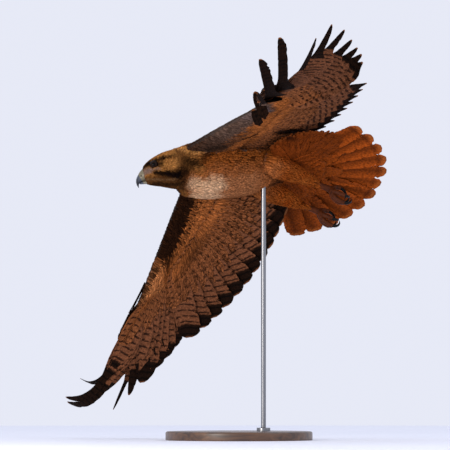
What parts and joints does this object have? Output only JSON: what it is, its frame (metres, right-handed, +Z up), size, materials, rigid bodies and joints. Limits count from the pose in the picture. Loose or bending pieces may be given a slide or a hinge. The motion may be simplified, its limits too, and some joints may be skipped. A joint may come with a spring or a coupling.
{
  "type": "red tailed hawk, life-size still model in flight",
  "caption": "Life-size hawk banking in flight with spread wings and fanned rufous tail, held over a round base by one upright rod.",
  "frame": {"origin": "middle of the stand base's flat underside, on the floor", "axes": "+Z up; the bird faces mainly -X, turned 31 degrees towards -Y, and is banked so that its belly faces -Y; its tail points to +X"},
  "size_m": [0.6694, 0.9612, 0.8418],
  "materials": {
    "head_plumage": "matte plumage, brown with golden crown and nape",
    "body_plumage": "matte plumage, cream breast and rufous-buff belly with dark streaks",
    "flight_feathers": "smooth feather vanes, grey-brown with dark bars, rufous linings and black tips",
    "tail_feathers": "smooth feather vanes, rufous with a thin dark band and pale tips",
    "bill_horn": "satin dark horn with a dull yellow-green cere",
    "talon_horn": "glossy black horn",
    "foot_skin": "scaled dull yellow skin",
    "eye": "wet dark brown",
    "stand_wood": "dark stained, satin",
    "stand_steel": "fine brushed"
  },
  "bodies": {
    "root": {"bill_lower": "bill_horn", "bill_upper": "bill_horn", "eye_left": "eye", "eye_right": "eye", "foot_left": "foot_skin", "foot_right": "foot_skin", "head": "head_plumage", "leg_left": "body_plumage", "leg_right": "body_plumage", "neck": "head_plumage", "stand_base": "stand_wood", "stand_rod": "stand_steel", "tail": "tail_feathers", "talon_left_hind": "talon_horn", "talon_left_inner": "talon_horn", "talon_left_middle": "talon_horn", "talon_left_outer": "talon_horn", "talon_right_hind": "talon_horn", "talon_right_inner": "talon_horn", "talon_right_middle": "talon_horn", "talon_right_outer": "talon_horn", "torso": "body_plumage", "wing_left_arm": "flight_feathers", "wing_left_hand": "flight_feathers", "wing_right_arm": "flight_feathers", "wing_right_hand": "flight_feathers"}
  },
  "joints": []
}
